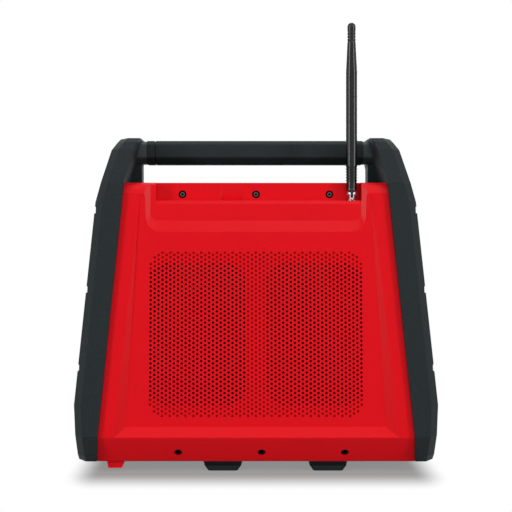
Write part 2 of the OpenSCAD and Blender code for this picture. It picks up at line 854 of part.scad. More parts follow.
// A (radius, depth) outline turned about Y, with depth running into the box
module turned(outline) {
    rotate([90, 0, 0])
        rotate_extrude($fn = 64)
            polygon(outline);
}
module speaker_frame(side) {
    color(black)
    on_speaker(side)
        difference() {
            turned([[34, 5], [38, 5], [38, 7.4], [36, 7.4], [21, 27], [13, 27], [13, 25], [20, 25],
                [34, 7.4]]);
            for (a = [45:90:315])
                rotate([0, a, 0])
                    translate([28, 0, 0])
                        front_prism(rectangle(-6, -8, 6, 8), -22, -12);
        }
}
module speaker_frame_left() { speaker_frame(-1); }
module speaker_frame_right() { speaker_frame(1); }
module speaker_cone(side) {
    color(rubber_black)
    on_speaker(side)
        turned(concat([[0, 11]], [for (a = [80:-20:20]) [9 * cos(a), 15.5 - 4.5 * sin(a)]],
            [[9, 15.5], [27, 6.4]], [for (a = [180:-30:0]) [30 + 3 * cos(a), 5 - 2 * sin(a)]],
            [[34, 5], [34, 5.8], [27, 7.6], [11, 16.5], [11, 24], [9.6, 24], [9.6, 17], [0, 17]]));
}
module speaker_cone_left() { speaker_cone(-1); }
module speaker_cone_right() { speaker_cone(1); }
module speaker_magnet(side) {
    color(steel)
    on_speaker(side)
        turned([[12.4, 27], [19, 27], [19, 29], [22, 29], [22, 38], [19, 38], [19, 40], [0, 40],
            [0, 24.5], [9, 24.5], [9, 37], [12.4, 37]]);
}
module speaker_magnet_left() { speaker_magnet(-1); }
module speaker_magnet_right() { speaker_magnet(1); }
radiator_x = 44.5;
module on_radiator(side) {
    on_sunk()
        translate([side * radiator_x, 0, field_z])
            children();
}
module radiator_frame(side) {
    color(black)
    on_radiator(side)
        turned([[33, grille_thick], [36, grille_thick], [36, 12], [33.5, 12], [33.5, 7], [31, 7], [31, 5],
            [33, 5]]);
}
module radiator_frame_left() { radiator_frame(-1); }
module radiator_frame_right() { radiator_frame(1); }
module radiator_cone(side) {
    color(rubber_black)
    on_radiator(side)
        turned(concat([[0, 5.4], [17, 5.4], [24, 8]],
            [for (a = [180:-30:0]) [27.5 + 3 * cos(a), 6.6 - 2 * sin(a)]],
            [[31, 6.6], [31, 7.6], [24, 9.2], [17, 8], [0, 8]]));
}
module radiator_cone_left() { radiator_cone(-1); }
module radiator_cone_right() { radiator_cone(1); }

board_y = -10;
board_thick = 1.6;
board_foot = 120;
module main_board() {
    color(board_green)
    union() {
        translate([-60, board_y - board_thick, board_foot])
            cube([120, board_thick, 58]);
        // Capacitors
        for (x = [-44, -30, 34])
            translate([x, 0, board_foot + 20])
                round_y(10, board_y - 0.5, board_y + 14);
        // Finned heat sink
        translate([-9, board_y - 0.5, board_foot + 24])
            cube([24, 3, 20]);
        for (i = [0:5])
            translate([-9 + i * 4.48, board_y, board_foot + 24])
                cube([1.6, 14, 20]);
    }
}

// Battery bay, with contacts at its back and a door hinged along its foot

bay_deep = 56;
aux_deep = 20;
door_thick = 2.6;
// An open box behind the front cover
module open_box(box, deep) {
    color(black)
    on_front()
        difference() {
            front_prism(grown(box, box_wall), -deep, -rebate);
            front_prism(grown(box, 0), -deep + box_wall, 1);
        }
}
// A door with knuckles along its foot and a scoop for a finger at its top
module hinged_door(box, scoop_drop) {
    knuckle = box[2] - 4;
    difference() {
        union() {
            front_prism(
                rounded(rectangle(box[0] - 1.6, box[1] + 2.4, box[2] + 1.6, box[3] + 1.6), [1, 1, 3, 3]),
                -door_thick, 0);
            translate([0, pin_y, box[1] + pin_rise])
                round_x(3.2, 2 * knuckle);
            translate([-knuckle, pin_y - 1, box[1] + pin_rise])
                cube([2 * knuckle, 2, 3]);
        }
        translate([0, pin_y, box[1] + pin_rise])
            round_x(pin_d + 0.16, 2 * knuckle + 10);
        translate([0, 3, box[3] - scoop_drop])
            round_x(9, 16);
    }
}
module door_pin(box) {
    color(steel)
    on_front()
        translate([0, pin_y, box[1] + pin_rise])
            round_x(pin_d, 2 * box[2] + 8);
}
module battery_box() { open_box(bay, bay_deep); }
module battery_contacts() {
    color(steel)
    on_front()
        for (x = [-12, -4, 4, 12])
            front_prism(rectangle(x - 1, bay[3] - 22, x + 1, bay[3] - 6),
                -bay_deep + box_wall, -bay_deep + box_wall + 5);
}
module battery_door() {
    color(red)
    on_front()
        hinged_door(bay, 5);
}
module battery_door_pin() { door_pin(bay); }

// Sockets in a small box behind a hinged flap

module aux_box() { open_box(aux, aux_deep); }
module aux_sockets() {
    mid = (aux[1] + aux[3]) / 2;
    back = -aux_deep + box_wall;
    color(steel)
    on_front() {
        // Headphone socket
        translate([-12, 0, mid])
            difference() {
                round_y(6.4, back, back + 4);
                round_y(3.6, back + 1, 0);
            }
        // Charging socket for a telephone
        difference() {
            front_prism(rectangle(-6.8, mid - 3.4, 6.8, mid + 3.4), back, back + 4);
            front_prism(rectangle(-6.2, mid - 2.8, 6.2, mid + 2.8), back + 1, 0);
        }
        // Inlet for the mains adapter
        translate([13, 0, mid])
            difference() {
                round_y(9, back, back + 4);
                difference() {
                    round_y(6.2, back + 1, 0);
                    round_y(2.1, back, 1);
                }
            }
    }
}
module aux_door() {
    color(rubber_black)
    on_front()
        hinged_door(aux, 3);
}
module aux_door_pin() { door_pin(aux); }

rear_cover();
rear_grille_left();
rear_grille_rib();
rear_grille_right();
chassis();
front_cover();
end_cap_left();
end_cap_right();
end_cap_screws();
handle_tube();
handle_grip();
handle_collar_left();
handle_collar_right();
handle_bolts();
rear_upper_screws();
rear_lower_screws();
feet();
aerial_bush();
aerial_knuckle();
aerial_pin();
aerial_ferrule();
aerial_whip();
control_panel();
display_lens();
display_module();
control_board();
power_button();
mode_button();
preset_button_1();
preset_button_2();
preset_button_3();
preset_button_4();
volume_knob();
tuning_knob();
volume_shaft();
tuning_shaft();
encoders();
speaker_grille_left();
speaker_grille_right();
speaker_frame_left();
speaker_frame_right();
speaker_cone_left();
speaker_cone_right();
speaker_magnet_left();
speaker_magnet_right();
radiator_frame_left();
radiator_frame_right();
radiator_cone_left();
radiator_cone_right();
main_board();
battery_box();
battery_contacts();
battery_door();
battery_door_pin();
aux_box();
aux_sockets();
aux_door();
aux_door_pin();
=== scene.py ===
"""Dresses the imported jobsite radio: finishes for every part, and detailed pieces over the plain ones.

Everything is in metres. The back faces -Y, the front +Y, and the feet stand at z = 0.
"""
import json
import math

import bpy
from mathutils import Matrix, Vector


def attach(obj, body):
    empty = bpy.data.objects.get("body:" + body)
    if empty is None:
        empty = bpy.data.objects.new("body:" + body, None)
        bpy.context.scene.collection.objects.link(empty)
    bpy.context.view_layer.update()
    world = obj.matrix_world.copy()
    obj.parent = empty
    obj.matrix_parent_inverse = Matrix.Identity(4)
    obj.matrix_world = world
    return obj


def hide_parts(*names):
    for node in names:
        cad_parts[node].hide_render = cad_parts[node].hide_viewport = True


bl_info = {
    "name": "Jobsite radio",
    "version": (1, 0, 0),
    "blender": (4, 5, 0),
    "location": "3D View > Sidebar > Radio",
    "description": "Finishes and detailed pieces for a jobsite radio built over its packed frame",
    "category": "Object",
}

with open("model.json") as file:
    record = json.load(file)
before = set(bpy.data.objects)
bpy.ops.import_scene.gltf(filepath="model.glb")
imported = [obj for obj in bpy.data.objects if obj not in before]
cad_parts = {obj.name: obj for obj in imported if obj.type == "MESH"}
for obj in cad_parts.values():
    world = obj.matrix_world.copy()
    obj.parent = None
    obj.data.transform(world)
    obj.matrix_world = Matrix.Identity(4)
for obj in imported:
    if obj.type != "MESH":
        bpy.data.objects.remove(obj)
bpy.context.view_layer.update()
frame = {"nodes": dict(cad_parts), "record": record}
RECORD = frame["record"]
NODE_BODY = {node: body for body, nodes in RECORD["behaviour"]["bodies"].items() for node in nodes}

# The leaning front face: a point at the foot of its slope, and the directions up along it and out of it
LEAN = math.atan2(0.018, 0.1925)
CREST = Vector((0, 0.072, 0.0285))
FRONT_UP = Vector((0, -math.sin(LEAN), math.cos(LEAN)))
FRONT_NORMAL = Vector((0, math.cos(LEAN), math.sin(LEAN)))
# The band under the back's sunk centre: a point at its foot, and the direction out of it
BAND_FOOT = Vector((0, -0.0605, 0.008))
BAND_NORMAL = Vector((0, -0.0205, -0.0115)).normalized()
# The back's sunk centre: a point at its foot, and the direction out of it
SUNK_LEAN = LEAN - math.atan2(0.0056, 0.1758)
SUNK_FOOT = Vector((0, -0.06533, 0.03544))
SUNK_NORMAL = Vector((0, -math.cos(SUNK_LEAN), math.sin(SUNK_LEAN)))
# Between which depths under the sunk centre the blind holes end, and how much deeper they are made
BLIND_FLOOR = (-0.0016, -0.0010)
BLIND_DEEPER = 0.0009
# The window that holds the perforated field: half its width, and its heights
WINDOW_HALF, WINDOW_FOOT, WINDOW_TOP = 0.0838, 0.039, 0.1735
# The pocket's wall, and the pad on it where the folded aerial rests: its middle, how far it stands out,
# its foot, and the height above which it runs out
POCKET_WALL = -0.041
REST_X, REST_PROUD, REST_FOOT, REST_TOP = -0.0185, 0.0009, 0.2055, 0.215
# Where the aerial's fork holds its pin
AERIAL_PIVOT = Vector((0.0743, -0.0467, 0.2118))
# Half the fork's slot, the share that is left of its cheeks' thickness, and of the pin's length
SLOT_HALF, CHEEK_LEFT, PIN_LEFT = 0.0011, 0.6, 0.7
# Radius of the aerial's collar and of its sleeve's foot
SLEEVE_FOOT_RADIUS = 0.0040
# Axes of the upper screws
UPPER_SCREW_X = (-0.057, 0.0004, 0.0578)
UPPER_SCREW_Z = 0.212
# The dials' and the keys' heights, how far apart they stand, and how far the keys stand out
DIAL_Z = 0.180
DIAL_X = 0.062
KEY_Z = 0.152
KEY_GAP = 0.023
KEY_PROUD = 0.0024
PRINT_THICK = 0.00008


# Settings

class RadioSizes(bpy.types.PropertyGroup):
    """Sizes of the moulded detail"""
    cover_round: bpy.props.FloatProperty(
        name="Cover rounding", description="Radius along the edges of the red covers",
        default=0.0011, min=0.0002, max=0.002, unit="LENGTH")
    bumper_round: bpy.props.FloatProperty(
        name="Bumper rounding", description="Radius along the edges of the rubber bumpers",
        default=0.0016, min=0.0002, max=0.003, unit="LENGTH")


class RadioColours(bpy.types.PropertyGroup):
    """Colours of the main finishes"""
    red: bpy.props.FloatVectorProperty(
        name="Red plastic", description="Colour of the moulded covers",
        default=(0.66, 0.0032, 0.0085), min=0.0, max=1.0, size=3, subtype="COLOR")
    rubber: bpy.props.FloatVectorProperty(
        name="Rubber", description="Colour of the bumpers, the grip and the feet",
        default=(0.0122, 0.0170, 0.0182), min=0.0, max=1.0, size=3, subtype="COLOR")
    black: bpy.props.FloatVectorProperty(
        name="Black plastic", description="Colour of the chassis, the fascia and the collars",
        default=(0.0170, 0.0220, 0.0230), min=0.0, max=1.0, size=3, subtype="COLOR")
    metal: bpy.props.FloatVectorProperty(
        name="Metal", description="Colour of bare steel fittings",
        default=(0.56, 0.56, 0.57), min=0.0, max=1.0, size=3, subtype="COLOR")


# Finishes

class Graph:
    """Nodes of one material or group, laid out from left to right"""

    def __init__(self, tree):
        self.tree = tree
        self.count = 0

    def node(self, kind, **settings):
        item = self.tree.nodes.new(kind)
        item.location = (220 * (self.count % 6) - 900, -260 * (self.count // 6))
        self.count += 1
        for name, value in settings.items():
            setattr(item, name, value)
        return item

    def link(self, start, end):
        self.tree.links.new(start, end)

    def math(self, operation, a, b):
        item = self.node("ShaderNodeMath", operation=operation)
        for socket, value in zip(item.inputs, (a, b)):
            if isinstance(value, (int, float)):
                socket.default_value = value
            else:
                self.link(value, socket)
        return item.outputs[0]


def new_group(name, inputs, outputs):
    """A shader node group with named sockets: each is (name, kind, default)"""
    tree = bpy.data.node_groups.new(name, "ShaderNodeTree")
    for label, kind, value in inputs:
        socket = tree.interface.new_socket(name=label, in_out="INPUT", socket_type=kind)
        if value is not None:
            socket.default_value = value
    for label, kind in outputs:
        tree.interface.new_socket(name=label, in_out="OUTPUT", socket_type=kind)
    graph = Graph(tree)
    return graph, graph.node("NodeGroupInput"), graph.node("NodeGroupOutput")


def moulded_grain_group():
    """Spark-eroded mould texture: a fine height, and a slow drift of gloss and tone"""
    graph, given, result = new_group(
        "Moulded grain",
        [("Vector", "NodeSocketVector", None), ("Scale", "NodeSocketFloat", 1500.0),
         ("Base", "NodeSocketColor", (0.5, 0.5, 0.5, 1)), ("Roughness", "NodeSocketFloat", 0.45),
         ("Mottle", "NodeSocketFloat", 0.06)],
        [("Color", "NodeSocketColor"), ("Roughness", "NodeSocketFloat"), ("Height", "NodeSocketFloat")])
    grain = graph.node("ShaderNodeTexNoise", noise_dimensions="3D")
    grain.inputs["Detail"].default_value = 2.0
    grain.inputs["Roughness"].default_value = 0.6
    graph.link(given.outputs["Vector"], grain.inputs["Vector"])
    graph.link(given.outputs["Scale"], grain.inputs["Scale"])
    drift = graph.node("ShaderNodeTexNoise", noise_dimensions="3D")
    drift.inputs["Scale"].default_value = 38.0
    drift.inputs["Detail"].default_value = 3.0
    graph.link(given.outputs["Vector"], drift.inputs["Vector"])
    centred = graph.math("SUBTRACT", drift.outputs["Fac"], 0.5)
    swing = graph.math("MULTIPLY", centred, given.outputs["Mottle"])
    graph.link(graph.math("ADD", given.outputs["Roughness"], swing), result.inputs["Roughness"])
    tone = graph.node("ShaderNodeMix", data_type="RGBA", blend_type="MULTIPLY")
    tone.inputs["Factor"].default_value = 1.0
    shade = graph.node("ShaderNodeCombineColor")
    level = graph.math("ADD", swing, 1.0)
    for channel in shade.inputs:
        graph.link(level, channel)
    graph.link(given.outputs["Base"], tone.inputs["A"])
    graph.link(shade.outputs["Color"], tone.inputs["B"])
    graph.link(tone.outputs["Result"], result.inputs["Color"])
    graph.link(grain.outputs["Fac"], result.inputs["Height"])
    return graph.tree


def rub_group():
    """Paler, smoother spots where hands and benches rub a dark moulding"""
    graph, given, result = new_group(
        "Rubbed spots",
        [("Vector", "NodeSocketVector", None), ("Base", "NodeSocketColor", (0.5, 0.5, 0.5, 1)),
         ("Rubbed", "NodeSocketColor", (0.6, 0.6, 0.6, 1)), ("Amount", "NodeSocketFloat", 0.2)],
        [("Color", "NodeSocketColor"), ("Mask", "NodeSocketFloat")])
    spots = graph.node("ShaderNodeTexNoise", noise_dimensions="3D")
    spots.inputs["Scale"].default_value = 620.0
    spots.inputs["Detail"].default_value = 1.0
    graph.link(given.outputs["Vector"], spots.inputs["Vector"])
    ramp = graph.node("ShaderNodeValToRGB")
    ramp.color_ramp.elements[0].position = 0.58
    ramp.color_ramp.elements[1].position = 0.72
    graph.link(spots.outputs["Fac"], ramp.inputs["Fac"])
    mask = graph.math("MULTIPLY", ramp.outputs["Color"], given.outputs["Amount"])
    blend = graph.node("ShaderNodeMix", data_type="RGBA")
    graph.link(mask, blend.inputs["Factor"])
    graph.link(given.outputs["Base"], blend.inputs["A"])
    graph.link(given.outputs["Rubbed"], blend.inputs["B"])
    graph.link(blend.outputs["Result"], result.inputs["Color"])
    graph.link(mask, result.inputs["Mask"])
    return graph.tree


def group(name):
    makers = {"Moulded grain": moulded_grain_group, "Rubbed spots": rub_group}
    return bpy.data.node_groups.get(name) or makers[name]()


def blank_material(name):
    """A new material with its shader: (material, graph, shader, object coordinates)"""
    item = bpy.data.materials.new(name)
    item.use_nodes = True
    item.node_tree.nodes.clear()
    graph = Graph(item.node_tree)
    place = graph.node("ShaderNodeTexCoord").outputs["Object"]
    shader = graph.node("ShaderNodeBsdfPrincipled")
    surface = graph.node("ShaderNodeOutputMaterial")
    graph.link(shader.outputs["BSDF"], surface.inputs["Surface"])
    return item, graph, shader, place


def bump(graph, shader, height, depth):
    """Feeds a height into the shader's normal, with the relief's depth in metres"""
    item = graph.node("ShaderNodeBump")
    item.inputs["Strength"].default_value = 1.0
    item.inputs["Distance"].default_value = depth
    graph.link(height, item.inputs["Height"])
    graph.link(item.outputs["Normal"], shader.inputs["Normal"])


def grained(name, colour, roughness, scale=1500.0, depth=0.00004, mottle=0.08, specular=0.5):
    """A moulded plastic with a spark-eroded skin"""
    item, graph, shader, place = blank_material(name)
    skin = graph.node("ShaderNodeGroup", node_tree=group("Moulded grain"))
    skin.inputs["Scale"].default_value = scale
    skin.inputs["Base"].default_value = (*colour, 1)
    skin.inputs["Roughness"].default_value = roughness
    skin.inputs["Mottle"].default_value = mottle
    graph.link(place, skin.inputs["Vector"])
    graph.link(skin.outputs["Color"], shader.inputs["Base Color"])
    graph.link(skin.outputs["Roughness"], shader.inputs["Roughness"])
    shader.inputs["Specular IOR Level"].default_value = specular
    bump(graph, shader, skin.outputs["Height"], depth)
    return item


def rubbery(name, colour, roughness=0.62, amount=0.35, specular=0.13, depth=0.00011):
    """Matt rubber with a coarse skin and paler rubbed specks"""
    item, graph, shader, place = blank_material(name)
    shader.inputs["Specular IOR Level"].default_value = specular
    specks = graph.node("ShaderNodeGroup", node_tree=group("Rubbed spots"))
    specks.inputs["Base"].default_value = (*colour, 1)
    specks.inputs["Rubbed"].default_value = (*[c * 2.1 for c in colour], 1)
    specks.inputs["Amount"].default_value = amount
    graph.link(place, specks.inputs["Vector"])
    skin = graph.node("ShaderNodeGroup", node_tree=group("Moulded grain"))
    skin.inputs["Scale"].default_value = 1100.0
    skin.inputs["Roughness"].default_value = roughness
    skin.inputs["Mottle"].default_value = 0.12
    graph.link(place, skin.inputs["Vector"])
    graph.link(specks.outputs["Color"], skin.inputs["Base"])
    graph.link(skin.outputs["Color"], shader.inputs["Base Color"])
    graph.link(skin.outputs["Roughness"], shader.inputs["Roughness"])
    bump(graph, shader, skin.outputs["Height"], depth)
    return item


def metallic(name, colour, roughness, streaks=0.0):
    """Bare or plated metal, with fine turning streaks where it is bare"""
    item, graph, shader, place = blank_material(name)
    skin = graph.node("ShaderNodeGroup", node_tree=group("Moulded grain"))
    skin.inputs["Scale"].default_value = 900.0
    skin.inputs["Base"].default_value = (*colour, 1)
    skin.inputs["Roughness"].default_value = roughness
    skin.inputs["Mottle"].default_value = 0.1
    stretch = graph.node("ShaderNodeMapping")
    stretch.inputs["Scale"].default_value = (1, 1, 1 + 8 * streaks)
    graph.link(place, stretch.inputs["Vector"])
    graph.link(stretch.outputs["Vector"], skin.inputs["Vector"])
    graph.link(skin.outputs["Color"], shader.inputs["Base Color"])
    graph.link(skin.outputs["Roughness"], shader.inputs["Roughness"])
    shader.inputs["Metallic"].default_value = 1.0
    bump(graph, shader, skin.outputs["Height"], 0.000012)
    return item


def window_glass(name):
    """Tinted clear window over the display"""
    item, graph, shader, place = blank_material(name)
    skin = graph.node("ShaderNodeGroup", node_tree=group("Moulded grain"))
    skin.inputs["Scale"].default_value = 240.0
    skin.inputs["Base"].default_value = (0.80, 0.84, 0.81, 1)
    skin.inputs["Roughness"].default_value = 0.06
    skin.inputs["Mottle"].default_value = 0.03
    graph.link(place, skin.inputs["Vector"])
    graph.link(skin.outputs["Color"], shader.inputs["Base Color"])
    graph.link(skin.outputs["Roughness"], shader.inputs["Roughness"])
    shader.inputs["Transmission Weight"].default_value = 1.0
    shader.inputs["Specular IOR Level"].default_value = 0.3
    shader.inputs["IOR"].default_value = 1.49
    return item


def finish(name):
    """The material for a finish, made once"""
    known = bpy.data.materials.get(name)
    if known:
        return known
    colours = bpy.context.scene.radio_colours
    red, rubber, black, metal = (
        tuple(c) for c in (colours.red, colours.rubber, colours.black, colours.metal))

    def times(colour, factor):
        return tuple(c * factor for c in colour)

    makers = {
        "red_moulding": lambda: grained(name, red, roughness=0.3, scale=1700.0, depth=0.000015, mottle=0.07,
                                        specular=0.1),
        "black_moulding": lambda: grained(name, black, roughness=0.5, depth=0.00005, mottle=0.1,
                                          specular=0.25),
        "collar_moulding": lambda: grained(name, times(black, 2.3), roughness=0.46, mottle=0.1,
                                           specular=0.25),
        "bumper_rubber": lambda: rubbery(name, rubber),
        "grip_rubber": lambda: rubbery(name, times(rubber, 1.1), roughness=0.58, amount=0.45),
        "key_rubber": lambda: rubbery(name, times(rubber, 1.5), roughness=0.6, amount=0.1),
        "whip_sleeve": lambda: rubbery(name, times(rubber, 0.2), roughness=0.13, amount=0.12, specular=0.32,
                                       depth=0.00001),
        "zinc_steel": lambda: metallic(name, metal, roughness=0.34, streaks=0.4),
        "black_oxide": lambda: metallic(name, (0.018, 0.018, 0.02), roughness=0.3),
        "bright_chrome": lambda: metallic(name, (0.62, 0.62, 0.64), roughness=0.16),
        "dark_nickel": lambda: metallic(name, (0.045, 0.045, 0.047), roughness=0.13),
        "screw_steel": lambda: metallic(name, (0.13, 0.12, 0.12), roughness=0.3),
        # Near-black for the upper screws' sockets and the heads' sides in their holes: painted shade where
        # these recesses lie in shadow
        "socket_painted_shade": lambda: grained(name, (0.0012, 0.0012, 0.0012), roughness=0.7, scale=900.0,
                                        depth=0.00001, mottle=0.05, specular=0.1),
        "pale_print": lambda: grained(name, (0.55, 0.56, 0.55), roughness=0.55, scale=1200.0, depth=0.00001,
                                      mottle=0.05, specular=0.3),
        "display_ink": lambda: grained(name, (0.012, 0.015, 0.012), roughness=0.4, scale=800.0,
                                       depth=0.00001, mottle=0.05, specular=0.3),
        "grille_paint": lambda: grained(name, (0.018, 0.018, 0.019), roughness=0.4, scale=2200.0,
                                        depth=0.00002),
        "display_film": lambda: grained(name, (0.23, 0.28, 0.20), roughness=0.5, scale=600.0, depth=0.00001,
                                        mottle=0.05, specular=0.2),
        "solder_resist": lambda: grained(name, (0.012, 0.11, 0.045), roughness=0.3, scale=500.0,
                                         depth=0.00002, mottle=0.2),
        "cone_paper": lambda: grained(name, (0.016, 0.016, 0.018), roughness=0.7, scale=700.0,
                                      depth=0.00006, mottle=0.2),
        "ferrite": lambda: grained(name, (0.05, 0.05, 0.055), roughness=0.55, scale=800.0, depth=0.00004,
                                   mottle=0.15),
        "window": lambda: window_glass(name),
    }
    return makers[name]()


# Modelling helpers

def deselect():
    if bpy.context.object and bpy.context.object.mode != "OBJECT":
        bpy.ops.object.mode_set(mode="OBJECT")
    bpy.ops.object.select_all(action="DESELECT")


def choose(piece):
    """Makes one piece the only selected and active object"""
    deselect()
    piece.select_set(True)
    bpy.context.view_layer.objects.active = piece


def edit(piece):
    """Enters edit mode with nothing selected"""
    choose(piece)
    bpy.ops.object.mode_set(mode="EDIT")
    bpy.ops.mesh.select_all(action="DESELECT")


def done():
    bpy.ops.object.mode_set(mode="OBJECT")


def paint(piece, name):
    piece.data.materials.clear()
    piece.data.materials.append(finish(name))


def coat(nodes, name):
    """Gives CAD nodes a finish without touching their shape"""
    for node in nodes:
        item = frame["nodes"][node]
        material = finish(name)
        if item.material_slots:
            for place in item.material_slots:
                place.material = material
        else:
            raise RuntimeError("no material slot on " + node)


def merged_copy(node, name, simplify=True):
    """A merged copy of a CAD node's mesh, as a new piece, with its flat faces joined if simplified"""
    source = frame["nodes"][node]
    piece = bpy.data.objects.new(name, source.data.copy())
    bpy.context.collection.objects.link(piece)
    if piece.data.has_custom_normals:
        choose(piece)
        bpy.ops.mesh.customdata_custom_splitnormals_clear()
    edit(piece)
    bpy.ops.mesh.select_all(action="SELECT")
    bpy.ops.mesh.remove_doubles(threshold=0.000004)
    if simplify:
        bpy.ops.mesh.dissolve_limited(angle_limit=math.radians(0.4))
    done()
    return piece


def rounded_edges(piece, width, segments=2, angle=28):
    """Rounds the sharp edges with an applied bevel"""
    choose(piece)
    bevel = piece.modifiers.new("rounding", "BEVEL")
    bevel.width = width
    bevel.segments = segments
    bevel.limit_method = "ANGLE"
    bevel.angle_limit = math.radians(angle)
    bevel.use_clamp_overlap = True
    bevel.harden_normals = False
    bevel.miter_outer = "MITER_ARC"
    bpy.ops.object.modifier_apply(modifier=bevel.name)


def rounded_where(piece, width, segments, angle, skip):
    """Rounds the sharp edges in edit mode, apart from those with both ends in a part that stays crisp"""
    edit(piece)
    bpy.context.tool_settings.mesh_select_mode = (False, True, False)
    bpy.ops.mesh.edges_select_sharp(sharpness=math.radians(angle))
    done()
    for edge in piece.data.edges:
        if edge.select and all(skip(piece.data.vertices[i].co) for i in edge.vertices):
            edge.select = False
    bpy.ops.object.mode_set(mode="EDIT")
    bpy.ops.mesh.bevel(offset=width, segments=segments, affect="EDGES", clamp_overlap=True, miter_outer="ARC")
    done()
    bpy.context.tool_settings.mesh_select_mode = (True, False, False)


def smooth(piece, angle=32):
    """Smooth shading over the roundings, with the large faces kept flat"""
    choose(piece)
    bpy.ops.object.shade_smooth_by_angle(angle=math.radians(angle))
    weigh = piece.modifiers.new("flat faces", "WEIGHTED_NORMAL")
    weigh.mode = "FACE_AREA"
    weigh.weight = 100
    weigh.keep_sharp = True
    bpy.ops.object.modifier_apply(modifier=weigh.name)


def settle(piece, node, finish_name):
    """Says which body a finished piece rides on, which node it stands for, and its finish"""
    paint(piece, finish_name)
    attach(piece, NODE_BODY[node])
    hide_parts(node)


def dress(node, name, finish_name, width, segments=2, angle=28, skip=None, reshape=None, simplify=True):
    """A rounded copy of a CAD node that stands for it.

    Edges with both ends where skip says so stay sharp, reshape moves points before the rounding, and a
    piece whose joined faces the rounding would spoil isn't simplified.
    """
    piece = merged_copy(node, name, simplify)
    if reshape:
        reshape(piece)
    if skip:
        rounded_where(piece, width, segments, angle, skip)
    else:
        rounded_edges(piece, width, segments, angle)
    smooth(piece)
    settle(piece, node, finish_name)
    return piece


def up_front(height):
    """How far up along the leaning front face a height lies"""
    return (height - CREST.z) / math.cos(LEAN)


def on_front(x, up, out):
    """A place on the leaning front face: sideways, up along it and out of it"""
    return Vector((x, 0, 0)) + CREST + FRONT_UP * up + FRONT_NORMAL * out


def lay_on_front(piece, x, up, out):
    """Puts a piece drawn flat, with X to the reader's right and Y up, onto the front face"""
    turn = Matrix((Vector((-1, 0, 0)), FRONT_UP, FRONT_NORMAL)).transposed()
    choose(piece)
    piece.matrix_world = Matrix.Translation(on_front(x, up, out)) @ turn.to_4x4()
    bpy.ops.object.transform_apply(location=True, rotation=True, scale=True)


def bars(name, rows, thick):
    """Flat bars in one piece: each row is (x, y, width, height, turn)"""
    parts = []
    for x, y, width, height, turn in rows:
        deselect()
        bpy.ops.mesh.primitive_plane_add(size=1, location=(x, y, 0), rotation=(0, 0, turn))
        part = bpy.context.object
        part.scale = (width, height, 1)
        parts.append(part)
    deselect()
    for part in parts:
        part.select_set(True)
    bpy.context.view_layer.objects.active = parts[0]
    if len(parts) > 1:
        bpy.ops.object.join()
    piece = bpy.context.object
    piece.name = name
    bpy.ops.object.transform_apply(location=True, rotation=True, scale=True)
    thicken(piece, thick)
    return piece


def thicken(piece, thick):
    """Gives a flat piece its thickness, and rounds its corners"""
    choose(piece)
    wall = piece.modifiers.new("thickness", "SOLIDIFY")
    wall.thickness = thick
    wall.offset = 0
    bpy.ops.object.modifier_apply(modifier=wall.name)
    rounded_edges(piece, thick * 0.3, 1, 60)


def printed(piece, body, finish_name):
    """Says what a printed or raised mark rides on, and its finish"""
    paint(piece, finish_name)
    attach(piece, body)


# Pieces

class RADIO_OT_rear_cover(bpy.types.Operator):
    """Red moulded back with its sunk centre, pocket and tab"""
    bl_idname = "radio.rear_cover"
    bl_label = "Rear cover"

    def execute(self, context):
        sizes = context.scene.radio_sizes
        dress("rear_cover", "rear_shell", "red_moulding", sizes.cover_round, 3, 7, self.crisp, self.sink_rest)
        return {"FINISHED"}

    @staticmethod
    def crisp(place):
        """The window's edge, where the perforated field lies flush, and the low rest for the folded aerial"""
        in_window = abs(place.x) < WINDOW_HALF and WINDOW_FOOT < place.z < WINDOW_TOP
        on_wall = abs(place.y - POCKET_WALL + 0.0005) < 0.001
        return in_window or (abs(place.x - REST_X) < 0.0105 and on_wall and place.z > REST_FOOT)

    @staticmethod
    def sink_rest(piece):
        """The aerial's rest as a shallow flat that runs out upwards, with sloping sides"""
        for point in piece.data.vertices:
            x, y, z = point.co
            on_pad = abs(y - POCKET_WALL + REST_PROUD) < 0.0002
            if abs(x - REST_X) < 0.01 and on_pad and z > REST_FOOT:
                point.co.x -= math.copysign(0.0011, x - REST_X)
                point.co.y = POCKET_WALL + (0.0001 if z > REST_TOP else 0.0012)


class RADIO_OT_rear_grilles(bpy.types.Operator):
    """Perforated field of the back"""
    bl_idname = "radio.rear_grilles"
    bl_label = "Rear grilles"

    def execute(self, context):
        for part in ("left", "rib", "right"):
            piece = merged_copy("rear_grille_" + part, "perforated_" + part, False)
            # The blind holes are deepened
            for point in piece.data.vertices:
                if BLIND_FLOOR[0] < (point.co - SUNK_FOOT).dot(SUNK_NORMAL) < BLIND_FLOOR[1]:
                    point.co -= SUNK_NORMAL * BLIND_DEEPER
            settle(piece, "rear_grille_" + part, "red_moulding")
        return {"FINISHED"}


class RADIO_OT_front_cover(bpy.types.Operator):
    """Red moulded front"""
    bl_idname = "radio.front_cover"
    bl_label = "Front cover"

    def execute(self, context):
        # Its faces with openings stay in triangles, because the rounding would close a joined one
        dress("front_cover", "front_shell", "red_moulding", context.scene.radio_sizes.cover_round, 3, 28,
              simplify=False)
        return {"FINISHED"}


class RADIO_OT_chassis(bpy.types.Operator):
    """Black chassis between the covers"""
    bl_idname = "radio.chassis"
    bl_label = "Chassis"

    def execute(self, context):
        dress("chassis", "chassis_moulding", "black_moulding", 0.0006)
        return {"FINISHED"}


class RADIO_OT_bumpers(bpy.types.Operator):
    """Rubber bumpers at both ends"""
    bl_idname = "radio.bumpers"
    bl_label = "Bumpers"

    def execute(self, context):
        width = context.scene.radio_sizes.bumper_round
        dress("end_cap_left", "bumper_left", "bumper_rubber", width, 3, 14)
        dress("end_cap_right", "bumper_right", "bumper_rubber", width, 3, 14)
        return {"FINISHED"}


